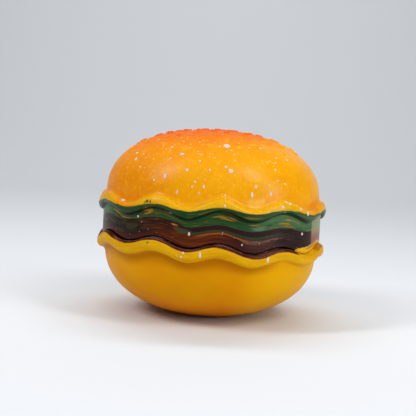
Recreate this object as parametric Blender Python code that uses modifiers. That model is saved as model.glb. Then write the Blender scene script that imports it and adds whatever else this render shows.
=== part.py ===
"""A moulded confection in the shape of a burger, 88 mm wide.

Four layers lie on each other: an upper bun with a rippled lip and sesame seeds in low
relief, a lettuce layer with a rippled roll, a patty, and a lower bun with a second rippled
lip. Every layer is a turned profile that is rippled near its rim, and runs through the whole
burger. It stands along +Z, with the middle of its flat spot at the origin. -Y is its front.
"""

import math
import random

import bmesh
import bpy
from mathutils import Matrix, Vector

MM = 0.001

# Radii
RIM_RADIUS = 44.0 * MM          # both lips, and the widest of the whole
WALL_RADIUS = 42.1 * MM         # the upright side of the lettuce and the patty
DOME_RADIUS = 41.3 * MM         # the upper bun where it meets its lip
BOWL_RADIUS = 40.8 * MM         # the lower bun where it meets its lip
FLAT_SPOT_RADIUS = 9.0 * MM     # what the burger rests on

# Mean heights above the flat spot
TOP = 70.9 * MM
DOME_FOOT = 45.2 * MM           # where the dome is widest
UPPER_LIP_TOP = 44.3 * MM
UPPER_LIP_MIDDLE = 42.1 * MM    # yellow above, green below
UPPER_LIP_BOTTOM = 40.1 * MM
PATTY_TOP = 36.7 * MM
PATTY_BOTTOM = 29.6 * MM
LOWER_LIP_BOTTOM = 24.8 * MM
GAP = 0.3 * MM                  # between layers that touch

# The groove at the patty's foot
GROOVE_DEPTH = 0.5 * MM
GROOVE_HEIGHT = 0.9 * MM

# The dome, the lower lip and the bowl are ovals of these powers: 2 is an ellipse, more is squarer
DOME_POWER = 2.25
LOWER_LIP_POWER = 2.4
BOWL_POWER = 2.2

# Ripples: twelve around, the same way up on both lips, and drawn out a little at the sides.
# The lower lip also sways: it stands highest at the front left and lowest at the front right.
RIPPLES = 12
RIPPLE_TURN = math.radians(4.2)     # the first crest, from +X towards +Y
RIPPLE_DRIFT = math.radians(10.0)   # how far the ripples are shifted at the two sides
RIPPLE_INNER_RADIUS = 29.0 * MM     # flat inside this
RIPPLE_OUTER_RADIUS = 40.0 * MM     # full outside this
RIPPLE_FADE = 8.0 * MM              # how far the ripple runs up the dome and down the bowl
RIM_HEIGHTS = (                     # height, and the half heights of the ripple and the sway
    (LOWER_LIP_BOTTOM - RIPPLE_FADE, 0.0, 0.0),
    (LOWER_LIP_BOTTOM, 1.25 * MM, 1.0 * MM),
    (PATTY_BOTTOM, 1.3 * MM, 1.1 * MM),
    (PATTY_TOP, 0.8 * MM, 0.6 * MM),
    (UPPER_LIP_BOTTOM, 1.6 * MM, 0.0),
    (UPPER_LIP_MIDDLE, 1.1 * MM, 0.0),
    (UPPER_LIP_TOP, 1.6 * MM, 0.0),
    (UPPER_LIP_TOP + RIPPLE_FADE, 0.0, 0.0),
)

# Sesame seeds in low relief, spread over the crown
SEED_COUNT = 84
SEED_FIELD_RADIUS = 33.0 * MM
SEED_LENGTH = 3.4 * MM
SEED_WIDTH = 2.0 * MM
SEED_TAPER = 0.35
SEED_RISE = 0.5 * MM
SEED_SINK = 0.25 * MM
SEED_JITTER = 0.9 * MM
SEED_RANDOM = 11
GOLDEN_ANGLE = math.pi * (3.0 - math.sqrt(5.0))

# Fineness of the faceted solids
SEGMENTS = 96
WIDE_FACES_INSIDE = RIPPLE_INNER_RADIUS + MM
DOME_STEPS = 12
UPPER_LIP_STEPS = 4
LOWER_LIP_STEPS = 7
BOWL_STEPS = 10
WELD_DISTANCE = 0.01 * MM
SHARP_ANGLE = math.radians(40.0)

# Linear colours
GOLD = (0.80, 0.36, 0.004)
LEMON = (0.62, 0.34, 0.01)
GREEN = (0.03, 0.09, 0.03)
BROWN = (0.07, 0.022, 0.012)
SATIN = 0.33
GLOSS = 0.25


def smooth_step(value, low, high):
    """0 below low, 1 above high, and an S-curve between."""
    share = min(max((value - low) / (high - low), 0.0), 1.0)
    return share * share * (3.0 - 2.0 * share)


def rim_half_heights(height):
    """The half heights of ripple and sway at one height above the flat spot, with no jump."""
    lowest = RIM_HEIGHTS[0]
    ripple, sway = lowest[1:]
    for (low, *below), (high, *above) in zip(RIM_HEIGHTS, RIM_HEIGHTS[1:]):
        if height > low:
            share = smooth_step(height, low, high)
            ripple, sway = (start + (end - start) * share for start, end in zip(below, above))
    return ripple, sway


def rim_lift(point):
    """How far the ripple and the sway lift a point of the turned shape."""
    radius = math.hypot(point.x, point.y)
    spread = smooth_step(radius, RIPPLE_INNER_RADIUS, RIPPLE_OUTER_RADIUS)
    if not spread:
        return 0.0
    turn = math.atan2(point.y, point.x)
    drift = RIPPLE_DRIFT * (point.x / radius) ** 3
    ripple, sway = rim_half_heights(point.z)
    return spread * (
        ripple * math.cos(RIPPLES * (turn - RIPPLE_TURN - drift)) + sway * math.sin(2.0 * turn)
    )


def oval(centre, half_width, half_height, start, end, steps, power=2.0):
    """Points (radius, height) on an oval, between two angles in degrees measured from +X up."""
    points = []
    for step in range(steps + 1):
        angle = math.radians(start + (end - start) * step / steps)
        across = math.copysign(abs(math.cos(angle)) ** (2.0 / power), math.cos(angle))
        up = math.copysign(abs(math.sin(angle)) ** (2.0 / power), math.sin(angle))
        points.append((centre[0] + half_width * across, centre[1] + half_height * up))
    return points


def face_between(height, outward):
    """The face where two layers meet: flat in the middle, then the ring where ripples grow."""
    rows = (0.0, RIPPLE_INNER_RADIUS, RIPPLE_OUTER_RADIUS)
    return [(radius, height) for radius in (rows if outward else reversed(rows))]


def upper_bun_profile():
    """Crown, crease, the upper half of the lip, and the face on the lettuce."""
    lip_middle = (WALL_RADIUS, UPPER_LIP_MIDDLE)
    lip_reach = RIM_RADIUS - WALL_RADIUS
    lip_rise = UPPER_LIP_TOP - UPPER_LIP_MIDDLE
    dome = oval((0.0, DOME_FOOT), DOME_RADIUS, TOP - DOME_FOOT, 90, 0, DOME_STEPS, DOME_POWER)
    dome[0] = (0.0, TOP)
    lip = oval(lip_middle, lip_reach, lip_rise, 78, 4, UPPER_LIP_STEPS)
    return dome + lip + face_between(UPPER_LIP_MIDDLE + GAP / 2.0, outward=False)


def lettuce_profile():
    """The face under the bun, the lower half of the lip, the wall and the face on the patty."""
    lip_middle = (WALL_RADIUS, UPPER_LIP_MIDDLE)
    lip_reach = RIM_RADIUS - WALL_RADIUS
    lip_drop = UPPER_LIP_MIDDLE - UPPER_LIP_BOTTOM
    top_face = face_between(UPPER_LIP_MIDDLE - GAP / 2.0, outward=True)
    lip = oval(lip_middle, lip_reach, lip_drop, -4, -88, UPPER_LIP_STEPS)
    wall_foot = (WALL_RADIUS, PATTY_TOP + GAP / 2.0)
    return top_face + lip + [wall_foot] + face_between(wall_foot[1], outward=False)


def patty_profile():
    """A disc with an upright wall, drawn in a little at its foot where the groove is."""
    top = PATTY_TOP - GAP / 2.0
    foot = PATTY_BOTTOM + GAP / 2.0
    wall = [
        (WALL_RADIUS, top),
        (WALL_RADIUS, foot + GROOVE_HEIGHT),
        (WALL_RADIUS - GROOVE_DEPTH, foot),
    ]
    return face_between(top, outward=True) + wall + face_between(foot, outward=False)


def lower_bun_profile():
    """The face under the patty, the lip, the bowl and the flat spot."""
    ledge = PATTY_BOTTOM - GAP / 2.0
    lip_middle = (BOWL_RADIUS, (ledge + LOWER_LIP_BOTTOM) / 2.0)
    lip_reach = RIM_RADIUS - BOWL_RADIUS
    lip_half_height = (ledge - LOWER_LIP_BOTTOM) / 2.0
    lip = oval(lip_middle, lip_reach, lip_half_height, 84, -78, LOWER_LIP_STEPS, LOWER_LIP_POWER)
    flat_share = (FLAT_SPOT_RADIUS / BOWL_RADIUS) ** BOWL_POWER
    bowl_depth = LOWER_LIP_BOTTOM / (1.0 - flat_share) ** (1.0 / BOWL_POWER)
    flat_angle = math.degrees(math.acos(math.sqrt(flat_share)))
    bowl_top = (0.0, LOWER_LIP_BOTTOM)
    bowl = oval(bowl_top, BOWL_RADIUS, bowl_depth, -5, -flat_angle, BOWL_STEPS, BOWL_POWER)
    bowl[-1] = (FLAT_SPOT_RADIUS, 0.0)
    return face_between(ledge, outward=True) + lip + bowl + [(0.0, 0.0)]


def make_material(name, colour, roughness):
    """A Principled material of one linear colour."""
    material = bpy.data.materials.new(name)
    material.use_nodes = True
    shader = material.node_tree.nodes["Principled BSDF"]
    shader.inputs["Base Color"].default_value = (*colour, 1.0)
    shader.inputs["Roughness"].default_value = roughness
    shader.inputs["Metallic"].default_value = 0.0
    material.diffuse_color = (*colour, 1.0)
    return material


def plain_mesh(source):
    """The evaluated mesh of an object, whose object is then removed."""
    depsgraph = bpy.context.evaluated_depsgraph_get()
    mesh = bpy.data.meshes.new_from_object(source.evaluated_get(depsgraph))
    bpy.data.objects.remove(source)
    return mesh


def turned_mesh(name, profile):
    """A profile turned about Z by a Screw modifier."""
    outline = bpy.data.meshes.new(f"{name}_profile")
    corners = [(radius, 0.0, height) for radius, height in profile]
    edges = [(index, index + 1) for index in range(len(corners) - 1)]
    outline.from_pydata(corners, edges, [])
    turned = bpy.data.objects.new(f"{name}_turned", outline)
    bpy.context.scene.collection.objects.link(turned)
    screw = turned.modifiers.new("turn", "SCREW")
    screw.axis = "Z"
    screw.steps = SEGMENTS
    screw.render_steps = SEGMENTS
    screw.use_merge_vertices = True
    screw.merge_threshold = WELD_DISTANCE
    return plain_mesh(turned)


def close_and_ripple(mesh, wide_faces_inside):
    """Weld the poles, lift each vertex by the ripple, and split the faces that it bends.

    Inside the radius wide_faces_inside every second meridian goes, as faces there are narrow.
    """
    shape = bmesh.new()
    shape.from_mesh(mesh)
    bmesh.ops.remove_doubles(shape, verts=shape.verts, dist=WELD_DISTANCE)
    spare = []
    for vertex in shape.verts:
        turn = round(math.atan2(vertex.co.y, vertex.co.x) / (2.0 * math.pi) * SEGMENTS)
        radius = math.hypot(vertex.co.x, vertex.co.y)
        if turn % 2 and WELD_DISTANCE < radius < wide_faces_inside:
            spare.append(vertex)
    bmesh.ops.dissolve_verts(shape, verts=spare)
    lifted = set()
    for vertex in shape.verts:
        lift = rim_lift(vertex.co)
        if lift:
            vertex.co.z += lift
            lifted.add(vertex)
    bent = [face for face in shape.faces if len(face.verts) > 4 or lifted & set(face.verts)]
    bmesh.ops.triangulate(shape, faces=bent)
    shape.to_mesh(mesh)
    shape.free()


def add_layer(name, profile, colour, roughness, collection, wide_faces_inside=WIDE_FACES_INSIDE):
    """One layer of the burger as its own object."""
    mesh = turned_mesh(name, profile)
    close_and_ripple(mesh, wide_faces_inside)
    mesh.name = name
    mesh.materials.clear()
    mesh.materials.append(make_material(name, colour, roughness))
    layer = bpy.data.objects.new(name, mesh)
    collection.objects.link(layer)
    return layer


def dome_height(radius):
    """The height of the upper bun's crown at a radius."""
    share = 1.0 - (radius / DOME_RADIUS) ** DOME_POWER
    return DOME_FOOT + (TOP - DOME_FOOT) * share ** (1.0 / DOME_POWER)


def seed_frame(radius, turn, heading):
    """Where one seed lies on the crown: its Z axis leaves the dome, its X axis is its length."""
    step = 0.1 * MM
    slope = (dome_height(radius + step) - dome_height(radius - step)) / (2.0 * step)
    outward = Vector((math.cos(turn), math.sin(turn), 0.0))
    normal = (Vector((0.0, 0.0, 1.0)) - slope * outward).normalized()
    along = Vector((math.cos(heading), math.sin(heading), 0.0))
    along = (along - along.dot(normal) * normal).normalized()
    across = normal.cross(along)
    place = radius * outward + Vector((0.0, 0.0, dome_height(radius)))
    frame = Matrix((along, across, normal)).transposed().to_4x4()
    return Matrix.Translation(place) @ frame


def seed_mesh():
    """One drop-shaped seed of few faces, blunt at one end and drawn out at the other.

    Its widest line is sunk into the crown, so the crown cuts only its upper faces.
    """
    bpy.ops.mesh.primitive_uv_sphere_add(segments=6, ring_count=4, radius=1.0)
    ball = bpy.context.object
    mesh = ball.data
    for vertex in mesh.vertices:
        taper = 1.0 - SEED_TAPER * vertex.co.x
        vertex.co.x *= SEED_LENGTH / 2.0
        vertex.co.y *= SEED_WIDTH / 2.0 * taper
        vertex.co.z = vertex.co.z * (SEED_RISE + SEED_SINK) - SEED_SINK
    bpy.data.objects.remove(ball)
    return mesh


def add_seeds(bun):
    """Fuse the seeds to the crown, spread by the golden angle with a small seeded jitter."""
    draw = random.Random(SEED_RANDOM)
    seeds = bpy.data.collections.new("seeds")
    bpy.context.scene.collection.children.link(seeds)
    mesh = seed_mesh()
    for index in range(SEED_COUNT):
        radius = SEED_FIELD_RADIUS * math.sqrt((index + 0.5) / SEED_COUNT)
        radius = abs(radius + draw.uniform(-SEED_JITTER, SEED_JITTER))
        turn = index * GOLDEN_ANGLE + draw.uniform(-SEED_JITTER, SEED_JITTER) / max(radius, MM)
        heading = draw.uniform(0.0, 2.0 * math.pi)
        seed = bpy.data.objects.new(f"seed_{index + 1:02d}", mesh)
        seed.matrix_world = seed_frame(radius, turn, heading)
        seeds.objects.link(seed)

    join = bun.modifiers.new("fuse_seeds", "BOOLEAN")
    join.operation = "UNION"
    join.solver = "EXACT"
    join.operand_type = "COLLECTION"
    join.collection = seeds
    depsgraph = bpy.context.evaluated_depsgraph_get()
    fused = bpy.data.meshes.new_from_object(bun.evaluated_get(depsgraph))
    bun.modifiers.clear()
    material = bun.data.materials[0]
    bun.data = fused
    fused.materials.clear()
    fused.materials.append(material)
    fused.name = bun.name
    for seed in list(seeds.objects):
        bpy.data.objects.remove(seed)
    bpy.data.collections.remove(seeds)


def shade(layer):
    """Smooth all round, sharp where a rim turns to a face between layers."""
    layer.data.shade_smooth()
    layer.data.set_sharp_from_angle(angle=SHARP_ANGLE)


def build():
    """All four layers."""
    for old in list(bpy.data.objects):
        bpy.data.objects.remove(old)
    burger = bpy.data.collections.new("moulded_burger")
    bpy.context.scene.collection.children.link(burger)

    lower_bun = add_layer("lower_bun", lower_bun_profile(), LEMON, SATIN, burger)
    patty = add_layer("patty", patty_profile(), BROWN, GLOSS, burger)
    lettuce = add_layer("lettuce", lettuce_profile(), GREEN, GLOSS, burger)
    upper_bun = add_layer(
        "upper_bun", upper_bun_profile(), GOLD, SATIN, burger,
        wide_faces_inside=SEED_FIELD_RADIUS + SEED_LENGTH,
    )
    add_seeds(upper_bun)
    for layer in (lower_bun, patty, lettuce, upper_bun):
        shade(layer)


build()
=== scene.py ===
"""Looks of a moulded and painted burger confection, built layer by layer from its foot up."""

import math
import random

import bmesh
import bpy
import numpy as np
from mathutils import Euler, Matrix, Vector
from mathutils.bvhtree import BVHTree


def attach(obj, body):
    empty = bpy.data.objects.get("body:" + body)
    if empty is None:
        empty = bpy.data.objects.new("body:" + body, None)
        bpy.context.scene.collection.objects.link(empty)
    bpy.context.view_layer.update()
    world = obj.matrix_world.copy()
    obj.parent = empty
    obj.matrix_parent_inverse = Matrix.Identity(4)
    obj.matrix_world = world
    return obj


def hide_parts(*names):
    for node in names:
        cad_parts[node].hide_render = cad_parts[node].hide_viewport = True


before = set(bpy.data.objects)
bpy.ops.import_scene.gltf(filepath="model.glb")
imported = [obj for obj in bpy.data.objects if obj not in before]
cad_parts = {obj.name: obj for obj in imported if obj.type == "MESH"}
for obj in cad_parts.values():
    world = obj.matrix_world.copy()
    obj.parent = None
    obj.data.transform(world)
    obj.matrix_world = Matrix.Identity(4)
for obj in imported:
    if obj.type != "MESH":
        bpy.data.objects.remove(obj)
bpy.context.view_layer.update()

MM = 0.001


# Lower bun
# The foot of the burger: a golden bowl with a rippled lemon lip, cast in a mould as a thin
# shell. The colour was brushed and sprayed into the mould, so it lies smooth and satin. The
# lip's top edge is brown where the patty's colour ran over it, and the ledge inside is black.

RIM_RADIUS = 44.0 * MM
WALL_RADIUS = 42.1 * MM
BOWL_RADIUS = 40.8 * MM
FLAT_SPOT_RADIUS = 9.0 * MM
LOWER_LIP_BOTTOM = 24.8 * MM
PATTY_BOTTOM = 29.6 * MM
PATTY_TOP = 36.7 * MM
UPPER_LIP_BOTTOM = 40.1 * MM
UPPER_LIP_MIDDLE = 42.1 * MM
UPPER_LIP_TOP = 44.3 * MM
SEAM = 0.04 * MM                    # hair line between layers
LOWER_LIP_POWER = 2.4
BOWL_POWER = 2.2

RIPPLES = 12
RIPPLE_TURN = math.radians(4.2)
RIPPLE_DRIFT = math.radians(10.0)
RIPPLE_INNER_RADIUS = 29.0 * MM
RIPPLE_OUTER_RADIUS = 40.0 * MM
RIPPLE_FADE = 8.0 * MM
DRIFT_POWER = 3.0                   # of the cosine: the drift is felt at the sides alone
SWAYS = 2.0
RIM_HEIGHTS = (                     # height, and the half heights of the ripple and the sway
    (LOWER_LIP_BOTTOM - RIPPLE_FADE, 0.0, 0.0),
    (LOWER_LIP_BOTTOM, 1.25 * MM, 1.0 * MM),
    (PATTY_BOTTOM, 1.3 * MM, 1.1 * MM),
    (PATTY_TOP, 0.8 * MM, 0.6 * MM),
    (UPPER_LIP_BOTTOM, 1.6 * MM, 0.0),
    (UPPER_LIP_MIDDLE, 1.1 * MM, 0.0),
    (UPPER_LIP_TOP, 1.6 * MM, 0.0),
    (UPPER_LIP_TOP + RIPPLE_FADE, 0.0, 0.0),
)
SEGMENTS = 480
LIP_SPACING = 0.2 * MM              # between the rows of points
BOWL_SPACING = 0.8 * MM
WALL_SPACING = 0.4 * MM
MERGE_DISTANCE = 0.001 * MM
SHARP_ANGLE = math.radians(50.0)
FIRM_DOT = 0.6                      # share of a dot's radius that has its full colour
DAB_RAGGED_LENGTH = 1.5 * MM
GAP_START_SOFTNESS = 2.5            # this and the next two in degrees
GAP_END_SOFTNESS = 3.0
GAP_RAGGEDNESS = 60.0


def smooth_step(value, low, high):
    """0 below low, 1 above high, and an S-curve between."""
    share = min(max((value - low) / (high - low), 0.0), 1.0)
    return share * share * (3.0 - 2.0 * share)


def rim_half_heights(radius, height):
    """The half heights of ripple and sway at one point of a layer's profile."""
    ripple, sway = RIM_HEIGHTS[0][1:]
    for (low, *below), (high, *above) in zip(RIM_HEIGHTS, RIM_HEIGHTS[1:]):
        if height > low:
            share = smooth_step(height, low, high)
            ripple, sway = (start + (end - start) * share for start, end in zip(below, above))
    spread = smooth_step(radius, RIPPLE_INNER_RADIUS, RIPPLE_OUTER_RADIUS)
    return ripple * spread, sway * spread


def oval(centre, half_width, half_height, start, end, steps, power=2.0):
    """Points (radius, height) on an oval, between two angles in degrees measured from +X up."""
    points = []
    for step in range(steps + 1):
        angle = math.radians(start + (end - start) * step / steps)
        across, up = (math.copysign(abs(part) ** (2.0 / power), part)
                      for part in (math.cos(angle), math.sin(angle)))
        points.append((centre[0] + half_width * across, centre[1] + half_height * up))
    return points


def hollow_bend(start, corner, end, steps=8):
    """A soft inside corner: a curve from start to end that is drawn towards the corner."""
    points = []
    for step in range(1, steps):
        share = step / steps
        rest = 1.0 - share
        points.append(tuple(
            rest * rest * first + 2.0 * rest * share * pull + share * share * last
            for first, pull, last in zip(start, corner, end)
        ))
    return points


def face_between(height, outward):
    """The hidden face where two layers meet, with rows where the ripple grows."""
    steps = 6
    reach = RIPPLE_OUTER_RADIUS - RIPPLE_INNER_RADIUS
    rows = [0.0] + [RIPPLE_INNER_RADIUS + reach * step / steps for step in range(steps + 1)]
    return [(radius, height) for radius in (rows if outward else reversed(rows))]


def respaced(points, spacing):
    """The same outline with points an even distance apart."""
    outline = np.array(points)
    lengths = np.hypot(*np.diff(outline, axis=0).T)
    along = np.concatenate([[0.0], np.cumsum(lengths)])
    stops = np.linspace(0.0, along[-1], max(2, round(along[-1] / spacing) + 1))
    return list(zip(*(np.interp(stops, along, outline[:, axis]).tolist() for axis in (0, 1))))


class Nodes:
    """A node tree, with short ways to add to it."""

    def __init__(self, tree):
        self.tree = tree

    def feed(self, socket, value):
        """Link a socket to another one or to each in a list, or give it a value."""
        if isinstance(value, list):
            for source in value:
                self.feed(socket, source)
        elif isinstance(value, bpy.types.NodeSocket):
            self.tree.links.new(value, socket)
        else:
            socket.default_value = value

    def add(self, kind, inputs=None, **settings):
        """The outputs of a new node, whose inputs are given as values or as sockets to link."""
        node = self.tree.nodes.new(kind)
        for name, value in settings.items():
            setattr(node, name, value)
        for key, value in (inputs or {}).items():
            self.feed(node.inputs[key], value)
        return node.outputs

    def calc(self, operation, first, second=0.0, third=0.0):
        """The result of a Math node on up to three values or sockets."""
        inputs = {0: first, 1: second, 2: third}
        return self.add("ShaderNodeMath", inputs, operation=operation)[0]

    def root_of_squares(self, first, second):
        """How long two legs at a right angle are together."""
        squares = self.calc("MULTIPLY_ADD", first, first, self.calc("MULTIPLY", second, second))
        return self.calc("SQRT", squares)

    def soft_step(self, value, low, high, falling=False):
        """An S-curve from 0 at low to 1 at high, or from 1 to 0; high may be the smaller one."""
        return self.add("ShaderNodeMapRange", {
            "Value": value, "From Min": low, "From Max": high,
            "To Min": float(falling), "To Max": float(not falling),
        }, interpolation_type="SMOOTHSTEP")[0]

    def edge(self, value, level, softness, falling=False):
        """The same S-curve, on both sides of a level."""
        low, high = (self.calc(way, level, softness) for way in ("SUBTRACT", "ADD"))
        return self.soft_step(value, low, high, falling)

    def parts(self, vector):
        """The X, Y and Z of a vector."""
        return self.add("ShaderNodeSeparateXYZ", {0: vector})

    def vector(self, x, y, z):
        """A vector of three numbers."""
        return self.add("ShaderNodeCombineXYZ", {0: x, 1: y, 2: z})[0]

    def kept(self, name, kind="FLOAT"):
        """What each point keeps under a name."""
        return self.add("GeometryNodeInputNamedAttribute", {"Name": name},
                        data_type=kind)["Attribute"]

    def sampled(self, geometry, value, index, kind="FLOAT"):
        """A value as one point of a geometry has it."""
        inputs = {"Geometry": geometry, "Value": value, "Index": index}
        return self.add("GeometryNodeSampleIndex", inputs, data_type=kind)[0]

    def step(self, kind, geometry, inputs=None, **settings):
        """What one step in the making of a geometry turns it into."""
        inputs = {"Geometry": geometry, **(inputs or {})}
        return self.add(f"GeometryNode{kind}", inputs, **settings)[0]

    def give_dressed(self, geometry, taken, given):
        """End the tree with a real geometry in its material."""
        real = self.step("RealizeInstances", geometry)
        self.feed(given[0], self.step("SetMaterial", real, {"Material": taken["Material"]}))
        return self.tree


def new_group(kind, name, inputs, *outputs):
    """A node group with inputs, which are named numbers or kinds of socket, and named outputs."""
    tree = bpy.data.node_groups.new(name, f"{kind}NodeTree")
    for socket_name, value in inputs.items():
        socket_kind = {float: "Float", int: "Int"}.get(type(value), value)
        socket = tree.interface.new_socket(
            socket_name, in_out="INPUT", socket_type=f"NodeSocket{socket_kind}")
        if socket_kind != value:
            socket.default_value = value
    made = "NodeSocketGeometry" if kind == "Geometry" else "NodeSocketFloat"
    for socket_name in outputs:
        tree.interface.new_socket(socket_name, in_out="OUTPUT", socket_type=made)
    taken = tree.nodes.new("NodeGroupInput").outputs
    given = tree.nodes.new("NodeGroupOutput").inputs
    return Nodes(tree), taken, given


def turned_layer_tree():
    """Turns a profile about Z, lifts it by ripple and sway, and keeps each point's place at rest.

    The profile's points carry the attributes ripple and sway, their half heights there.
    """
    nodes, taken, given = new_group("Geometry", "Turned layer", {
        "Profile": "Geometry", "Segments": SEGMENTS, "Ripples": RIPPLES,
        "First Crest": RIPPLE_TURN, "Drift": RIPPLE_DRIFT, "Material": "Material",
    }, "Layer")
    calc = nodes.calc
    rows = nodes.add("GeometryNodeAttributeDomainSize", {"Geometry": taken["Profile"]},
                     component="MESH")["Point Count"]
    grid = nodes.add("GeometryNodeMeshGrid", {
        "Size X": 1.0, "Size Y": 1.0, "Vertices X": calc("ADD", taken["Segments"], 1.0),
        "Vertices Y": rows,
    })["Mesh"]
    place = nodes.add("GeometryNodeInputPosition")[0]
    across = nodes.parts(place)
    row = calc("ROUND", calc(
        "MULTIPLY", calc("ADD", across["Y"], 0.5), calc("SUBTRACT", rows, 1.0)))
    turn = calc("MULTIPLY_ADD", across["X"], -2.0 * math.pi, -math.pi / 2.0)
    outline = nodes.parts(nodes.sampled(taken["Profile"], place, row, "FLOAT_VECTOR"))
    ripple, sway = (
        nodes.sampled(taken["Profile"], nodes.kept(name), row) for name in ("ripple", "sway"))
    sideways = calc("COSINE", turn)
    x = calc("MULTIPLY", outline["X"], sideways)
    y = calc("MULTIPLY", outline["X"], calc("SINE", turn))
    drift = calc("MULTIPLY", taken["Drift"], calc("POWER", sideways, DRIFT_POWER))
    from_crest = calc("SUBTRACT", calc("SUBTRACT", turn, taken["First Crest"]), drift)
    wave = calc("COSINE", calc("MULTIPLY", from_crest, taken["Ripples"]))
    slow_wave = calc("SINE", calc("MULTIPLY", turn, SWAYS))
    lift = calc("MULTIPLY_ADD", wave, ripple, calc("MULTIPLY", slow_wave, sway))
    at_rest = nodes.vector(x, y, outline["Z"])
    raised = nodes.vector(x, y, calc("ADD", outline["Z"], lift))
    noted = nodes.step("StoreNamedAttribute", grid, {"Name": "at_rest", "Value": at_rest},
                       data_type="FLOAT_VECTOR", domain="POINT")
    shaped = nodes.step("SetPosition", noted, {"Position": raised})
    closed = nodes.step("MergeByDistance", shaped, {"Distance": MERGE_DISTANCE})
    return nodes.give_dressed(nodes.step("SetShadeSmooth", closed), taken, given)


TURNED_LAYER = turned_layer_tree()


def in_scene(name, data):
    """A new object in the scene."""
    thing = bpy.data.objects.new(name, data)
    bpy.context.scene.collection.objects.link(thing)
    return thing


def made_by(tree, source, values, name):
    """The plain mesh that a Geometry Nodes tree makes from a source object."""
    modifier = source.modifiers.new(tree.name, "NODES")
    modifier.node_group = tree
    for socket in tree.interface.items_tree:
        if socket.item_type == "SOCKET" and socket.in_out == "INPUT" and socket.name in values:
            modifier[socket.identifier] = values[socket.name]
    depsgraph = bpy.context.evaluated_depsgraph_get()
    mesh = bpy.data.meshes.new_from_object(source.evaluated_get(depsgraph))
    mesh.name = name
    bpy.data.objects.remove(source)
    return in_scene(name, mesh)


def loose_points(name, places, numbers):
    """An object of points, joined in a line, with one named list of numbers or vectors each."""
    mesh = bpy.data.meshes.new(name)
    mesh.from_pydata(places, [(index, index + 1) for index in range(len(places) - 1)], [])
    for attribute_name, values in numbers.items():
        is_vector = hasattr(values[0], "__len__")
        kind, field = ("FLOAT_VECTOR", "vector") if is_vector else ("FLOAT", "value")
        attribute = mesh.attributes.new(attribute_name, kind, "POINT")
        attribute.data.foreach_set(field, np.array(values, np.float32).ravel())
    return in_scene(name, mesh)


def turned_layer(name, profile, material):
    """One layer of the burger, closed and facing outwards."""
    places = [(radius, 0.0, height) for radius, height in profile]
    ripples, sways = zip(*(rim_half_heights(radius, height) for radius, height in profile))
    outline = loose_points(f"{name}_profile", places, {"ripple": ripples, "sway": sways})
    layer = made_by(TURNED_LAYER, outline, {"Material": material}, name)
    layer.data.set_sharp_from_angle(angle=SHARP_ANGLE)
    return layer


def paint(red, green, blue):
    """A colour as seen on a screen, 0 to 255 each, as a linear one."""
    channels = []
    for channel in (red, green, blue):
        share = channel / 255.0
        channels.append(share / 12.92 if share <= 0.04045 else ((share + 0.055) / 1.055) ** 2.4)
    return (*channels, 1.0)


def place_on_wall_group():
    """Degrees around from the front, to the viewer's right, and height and radius in mm."""
    nodes, taken, given = new_group(
        "Shader", "Place on the wall", {"Place": "Vector"}, "Degrees", "Height", "Radius")
    x, y, z = nodes.parts(taken["Place"])
    around = nodes.calc("ARCTAN2", x, nodes.calc("MULTIPLY", y, -1.0))
    nodes.feed(given["Degrees"], nodes.calc("DEGREES", around))
    nodes.feed(given["Height"], nodes.calc("DIVIDE", z, MM))
    nodes.feed(given["Radius"], nodes.calc("DIVIDE", nodes.root_of_squares(x, y), MM))
    return nodes.tree


def brush_strokes_group():
    """Long thin strokes that run round the burger, softly edged, as a flat brush leaves."""
    nodes, taken, given = new_group("Shader", "Brush strokes", {
        "Place": "Vector", "Length": 14.0, "Width": 0.8, "Level": 0.5, "Softness": 0.08,
        "Shift": 0.0,
    }, "Mask", "Grain")
    x, y, z = nodes.parts(taken["Place"])
    per_length = nodes.calc("DIVIDE", 1.0 / MM, taken["Length"])
    per_width = nodes.calc("DIVIDE", 1.0 / MM, taken["Width"])
    stretched = nodes.vector(
        nodes.calc("MULTIPLY_ADD", x, per_length, taken["Shift"]),
        nodes.calc("MULTIPLY", y, per_length),
        nodes.calc("MULTIPLY_ADD", z, per_width, taken["Shift"]))
    noise = nodes.add("ShaderNodeTexNoise", {
        "Vector": stretched, "Scale": 1.0, "Detail": 3.0, "Roughness": 0.6, "Distortion": 0.35,
    })[0]
    nodes.feed(given["Mask"], nodes.edge(noise, taken["Level"], taken["Softness"]))
    nodes.feed(given["Grain"], noise)
    return nodes.tree


def paint_line_group():
    """1 above a height where one colour laps over the next, with a brush's wobble in it."""
    nodes, taken, given = new_group("Shader", "Paint line", {
        "Place": "Vector", "Height": 0.0, "Level": 30.0, "Softness": 0.1, "Wobble": 0.4,
        "Wobble Length": 4.0,
    }, "Mask")
    noise = nodes.add("ShaderNodeTexNoise", {
        "Vector": taken["Place"], "Detail": 2.0, "Roughness": 0.55,
        "Scale": nodes.calc("DIVIDE", 1.0 / MM, taken["Wobble Length"]),
    })
    off_middle = nodes.calc("SUBTRACT", noise[0], 0.5)
    level = nodes.calc("MULTIPLY_ADD", off_middle, taken["Wobble"], taken["Level"])
    nodes.feed(given["Mask"], nodes.edge(taken["Height"], level, taken["Softness"]))
    return nodes.tree


def speckle_group():
    """Round dots of airbrush spray: a share of the cells holds one dot of its own size."""
    nodes, taken, given = new_group("Shader", "Speckle", {
        "Place": "Vector", "Cell": 1.0, "Dot": 0.2, "Share": 0.5,
    }, "Mask")
    cells = nodes.add("ShaderNodeTexVoronoi", {
        "Vector": taken["Place"], "Scale": nodes.calc("DIVIDE", 1.0 / MM, taken["Cell"]),
    })
    draws = nodes.add("ShaderNodeSeparateColor", {0: cells["Color"]})
    radius = nodes.calc("MULTIPLY", nodes.calc("DIVIDE", taken["Dot"], taken["Cell"]), draws[0])
    firm = nodes.calc("MULTIPLY", radius, FIRM_DOT)
    dot = nodes.soft_step(cells["Distance"], firm, radius, falling=True)
    held = nodes.calc("LESS_THAN", draws[1], taken["Share"])
    nodes.feed(given["Mask"], nodes.calc("MULTIPLY", dot, held))
    return nodes.tree


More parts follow.
